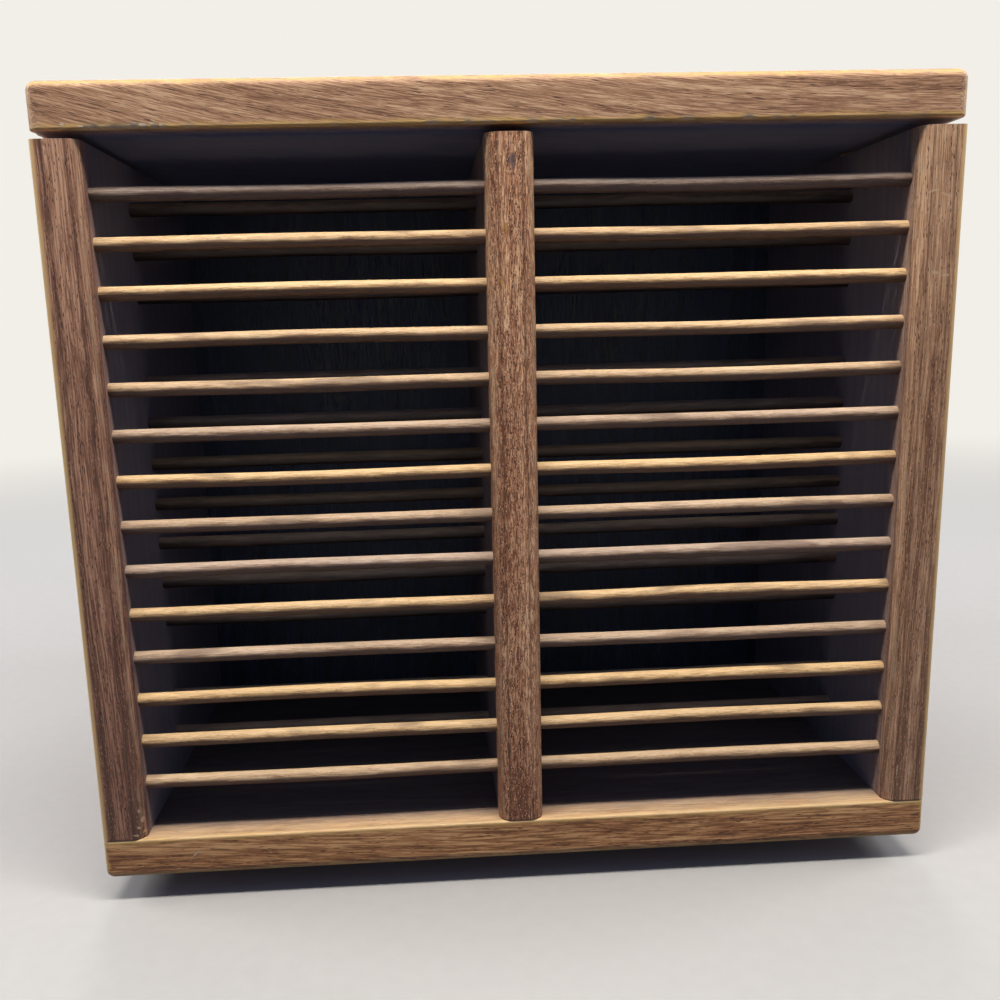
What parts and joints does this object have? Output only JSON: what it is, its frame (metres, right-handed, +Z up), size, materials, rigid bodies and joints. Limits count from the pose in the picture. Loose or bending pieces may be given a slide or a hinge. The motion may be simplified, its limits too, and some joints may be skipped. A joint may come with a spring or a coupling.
{
  "type": "rotating media storage rack",
  "caption": "Two-sided wooden rack with round rods between solid uprights that hold disc cases lying flat, standing on a low ball-bearing swivel under its square base board.",
  "frame": {"origin": "middle of the footprint on the table, at the underside of the rubber feet, on the swivel's turning axis", "axes": "+Z up along the turning axis, the front opening faces -Y, +X to the right seen from the front"},
  "size_m": [0.303, 0.303, 0.2812],
  "materials": {
    "case_wood": "oiled open-pored hardwood, walnut brown",
    "core_wood": "oiled veneer, walnut brown",
    "rod_wood": "turned hardwood rod, thinly oiled",
    "pin_wood": "plain beech, fluted and glued",
    "plate_steel": "pressed sheet, zinc plated",
    "screw_steel": "zinc plated",
    "ball_steel": "polished and greased",
    "nylon": "natural, moulded",
    "foot_rubber": "matte, stuck on"
  },
  "bodies": {
    "base": {"swivel_lower_plate": "plate_steel", "swivel_rivet": "plate_steel", "swivel_washer": "nylon", "rubber_feet": "foot_rubber"},
    "ball_ring": {"ball_cage": "nylon", "swivel_balls": "ball_steel"},
    "rack": {"top_board": "case_wood", "bottom_board": "case_wood", "left_side_panel": "case_wood", "right_side_panel": "case_wood", "front_divider": "case_wood", "back_divider": "case_wood", "core_panel": "core_wood", "front_rod_01": "rod_wood", "front_rod_02": "rod_wood", "front_rod_03": "rod_wood", "front_rod_04": "rod_wood", "front_rod_05": "rod_wood", "front_rod_06": "rod_wood", "front_rod_07": "rod_wood", "front_rod_08": "rod_wood", "front_rod_09": "rod_wood", "front_rod_10": "rod_wood", "front_rod_11": "rod_wood", "front_rod_12": "rod_wood", "front_rod_13": "rod_wood", "front_rod_14": "rod_wood", "front_inner_rods_01": "rod_wood", "front_inner_rods_02": "rod_wood", "front_inner_rods_03": "rod_wood", "front_inner_rods_04": "rod_wood", "front_inner_rods_05": "rod_wood", "front_inner_rods_06": "rod_wood", "front_inner_rods_07": "rod_wood", "back_rod_01": "rod_wood", "back_rod_02": "rod_wood", "back_rod_03": "rod_wood", "back_rod_04": "rod_wood", "back_rod_05": "rod_wood", "back_rod_06": "rod_wood", "back_rod_07": "rod_wood", "back_rod_08": "rod_wood", "back_rod_09": "rod_wood", "back_rod_10": "rod_wood", "back_rod_11": "rod_wood", "back_rod_12": "rod_wood", "back_rod_13": "rod_wood", "back_rod_14": "rod_wood", "back_inner_rods_01": "rod_wood", "back_inner_rods_02": "rod_wood", "back_inner_rods_03": "rod_wood", "back_inner_rods_04": "rod_wood", "back_inner_rods_05": "rod_wood", "back_inner_rods_06": "rod_wood", "back_inner_rods_07": "rod_wood", "joint_pins": "pin_wood", "case_screws": "screw_steel", "plate_screws": "screw_steel", "swivel_upper_plate": "plate_steel"}
  },
  "joints": [
    {"name": "rack_spin", "type": "hinge", "parent": "base", "child": "rack", "pos_m": [0, 0, 0.0055], "axis": [0, 0, 1], "continuous": true},
    {"name": "cage_spin", "type": "hinge", "parent": "base", "child": "ball_ring", "pos_m": [0, 0, 0.0055], "axis": [0, 0, 1], "continuous": true}
  ],
  "couplings": [
    {"joint": "cage_spin", "follows": "rack_spin", "ratio": 0.5}
  ]
}
